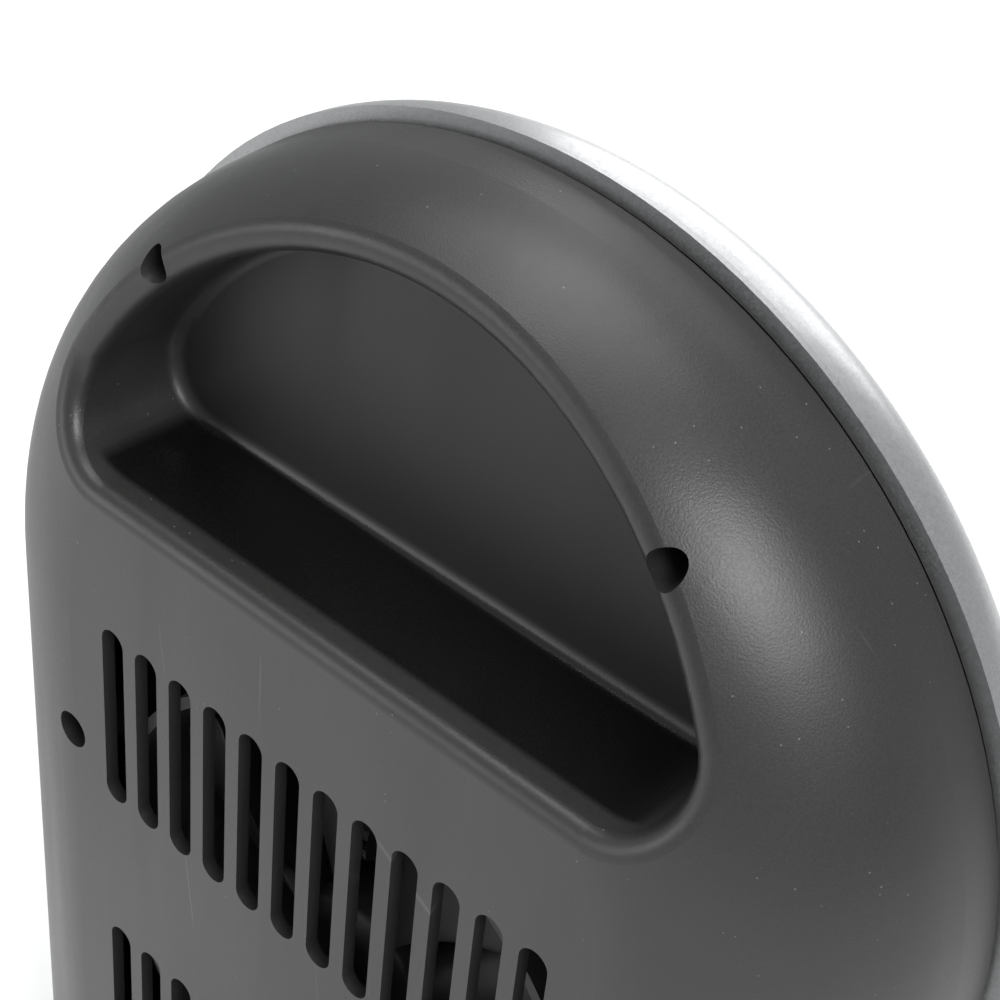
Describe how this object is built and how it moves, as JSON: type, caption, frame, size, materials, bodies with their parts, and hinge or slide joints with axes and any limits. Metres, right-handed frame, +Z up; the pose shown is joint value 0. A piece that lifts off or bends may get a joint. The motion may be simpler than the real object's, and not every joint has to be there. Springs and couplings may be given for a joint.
{
  "type": "portable electric fan heater",
  "caption": "Compact arch-topped electric fan heater with a silver front shell, dark rear casing with a hand recess and intake slots, and turning dials.",
  "frame": {"origin": "on the floor under the middle of the base", "axes": "+Z up, -Y the side the warm air leaves, +Y the back, +X to the right seen from the front"},
  "size_m": [0.2294, 0.12, 0.3122],
  "materials": {
    "casing_plastic": "satin moulded",
    "silver_paint": "fine metallic",
    "black_plastic": "satin moulded",
    "rubber": "matt",
    "screw_steel": "zinc plated",
    "fan_plastic": "satin moulded",
    "steel": "ground",
    "motor_steel": "plated",
    "ferrite": "matt",
    "bronze": "sintered",
    "duct_plastic": "satin moulded",
    "brass": "satin",
    "element_aluminium": "rolled",
    "switch_plastic": "satin moulded",
    "red_lens": "polished",
    "clear_lamp": "polished",
    "lead_sleeve": "woven sleeve"
  },
  "bodies": {
    "heater": {"rear_casing": "casing_plastic", "front_shell": "silver_paint", "front_grille": "black_plastic", "base_plate": "casing_plastic", "rubber_feet": "rubber", "base_screws": "screw_steel", "casing_screws": "screw_steel", "motor_magnets": "ferrite", "motor_can": "motor_steel", "motor_end_cap": "motor_steel", "motor_bushes": "bronze", "motor_screws": "screw_steel", "fan_duct": "duct_plastic", "element_screws": "screw_steel", "ptc_frame": "duct_plastic", "ptc_terminals": "brass", "ptc_bars": "element_aluminium", "ptc_fins": "element_aluminium", "thermal_cutout": "brass", "thermostat_body": "switch_plastic", "mode_switch_body": "switch_plastic", "indicator_lens": "red_lens", "indicator_lamp": "clear_lamp", "tip_switch_body": "switch_plastic", "terminal_block": "switch_plastic", "cord_gland": "rubber", "element_leads": "lead_sleeve"},
    "fan": {"fan_rotor": "fan_plastic", "motor_shaft": "steel", "motor_armature": "motor_steel"},
    "thermostat_dial": {"thermostat_knob": "black_plastic", "thermostat_spindle": "steel"},
    "mode_dial": {"mode_switch_knob": "black_plastic", "mode_switch_spindle": "steel"},
    "tip_button": {"tip_plunger": "switch_plastic"}
  },
  "joints": [
    {"name": "fan_spin", "type": "hinge", "parent": "heater", "child": "fan", "pos_m": [0, 0, 0.1385], "axis": [0, 1, 0], "continuous": true},
    {"name": "thermostat_turn", "type": "hinge", "parent": "heater", "child": "thermostat_dial", "pos_m": [0.04, -0.05, 0.054], "axis": [0, 1, 0], "range_deg": [0, 270]},
    {"name": "mode_turn", "type": "hinge", "parent": "heater", "child": "mode_dial", "pos_m": [-0.04, -0.05, 0.054], "axis": [0, 1, 0], "range_deg": [0, 135]},
    {"name": "tip_travel", "type": "slide", "parent": "heater", "child": "tip_button", "axis": [0, 0, -1], "range_m": [0, 0.004], "stiffness_N_per_m": 60, "springref_m": 0.004}
  ]
}
